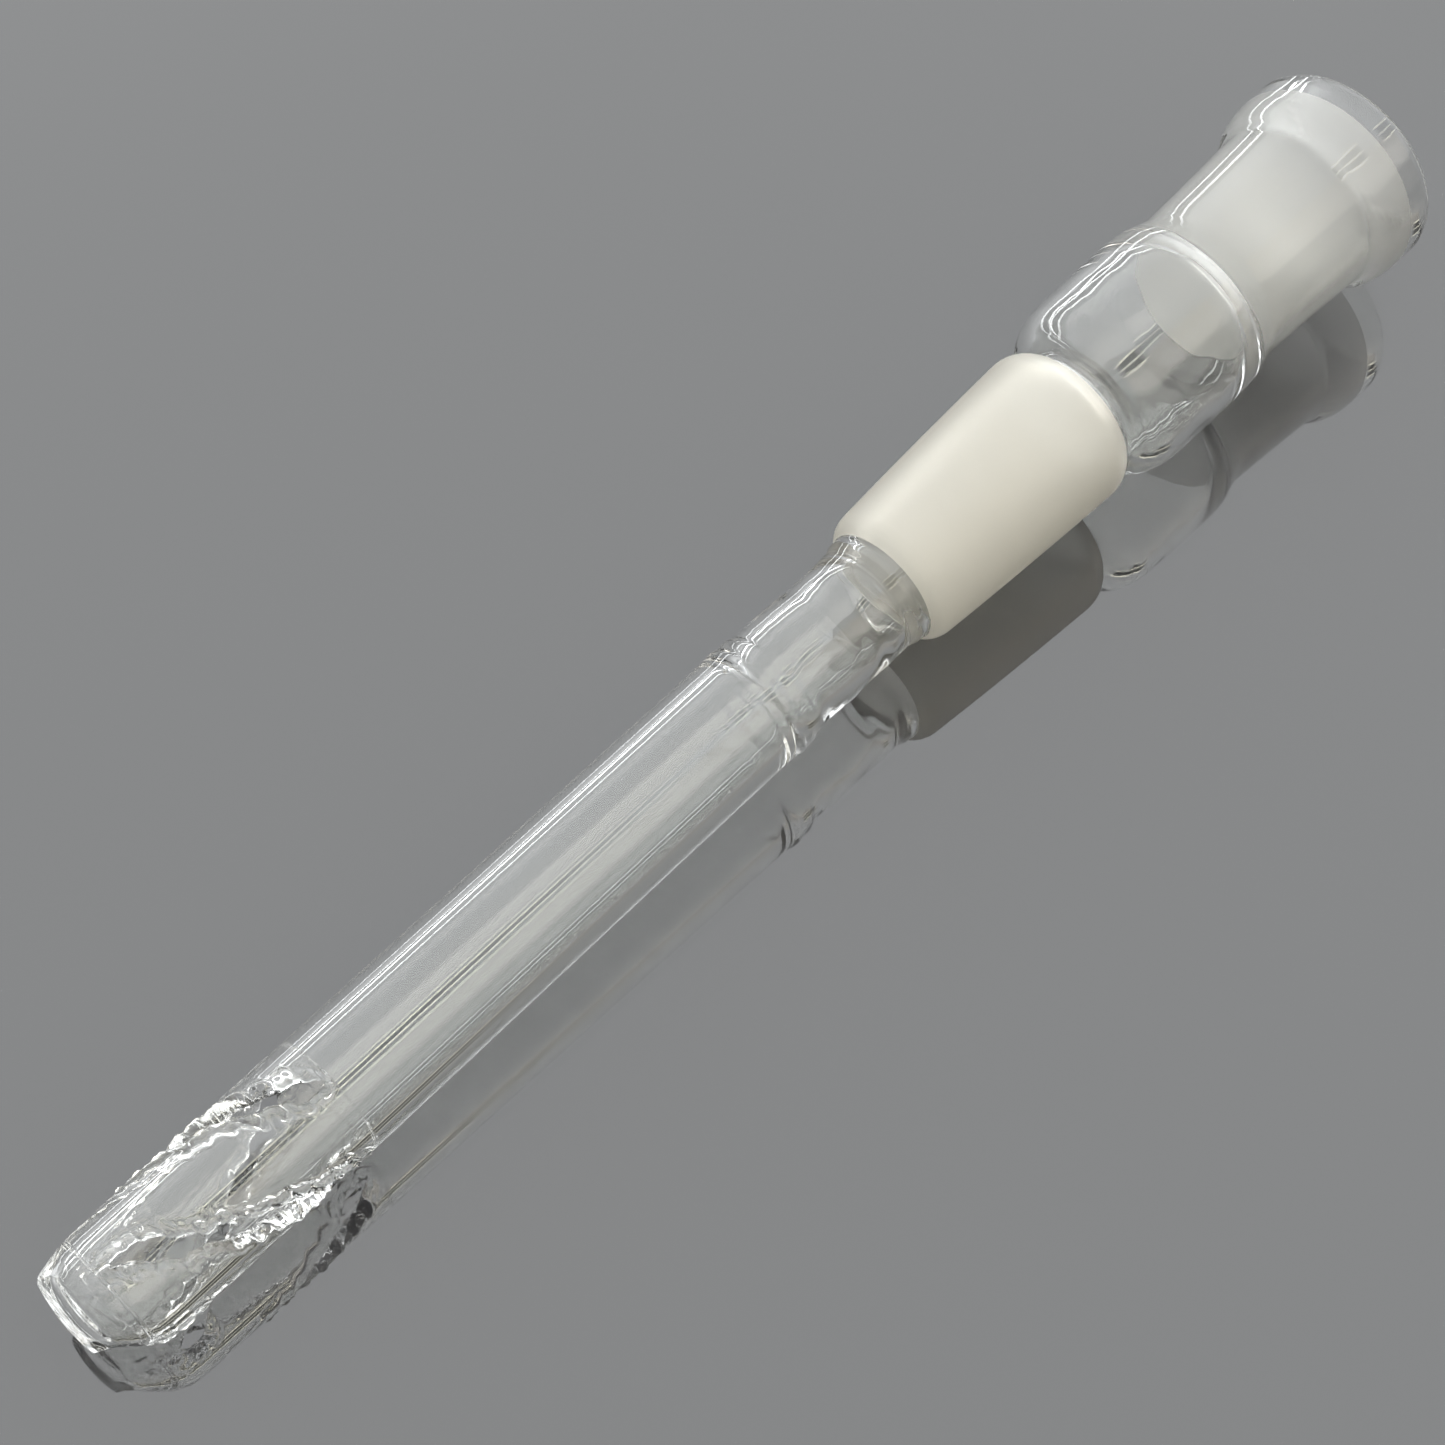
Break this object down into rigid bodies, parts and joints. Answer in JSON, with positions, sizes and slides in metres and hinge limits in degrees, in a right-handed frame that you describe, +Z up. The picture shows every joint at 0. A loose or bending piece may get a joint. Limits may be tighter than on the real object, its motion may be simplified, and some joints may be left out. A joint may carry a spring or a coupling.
{
  "type": "bubbler stem",
  "caption": "Glass bubbler stem: ground socket with rolled rim, small bulb, ground cone, and a long tube ending in a slotted diffuser with a pinched closed tip.",
  "frame": {"origin": "on the axis, in the plane of the large end of the cone's ground taper", "axes": "+X along the axis from the pinched tip to the socket mouth; +Z up as the part lies on a table; +Y to the left when looking along +X"},
  "size_m": [0.1876, 0.0248, 0.0248],
  "materials": {
    "clear_glass": "fire-polished, clear",
    "socket_glass": "clear outside, ground inside",
    "cone_glass": "ground outside, frosted"
  },
  "bodies": {
    "root": {"socket_rim": "clear_glass", "ground_socket": "socket_glass", "bulb": "clear_glass", "ground_cone": "cone_glass", "ring_seal": "clear_glass", "neck": "clear_glass", "splice_weld": "clear_glass", "stem_tube": "clear_glass", "diffuser": "clear_glass", "pinched_tip": "clear_glass"}
  },
  "joints": []
}
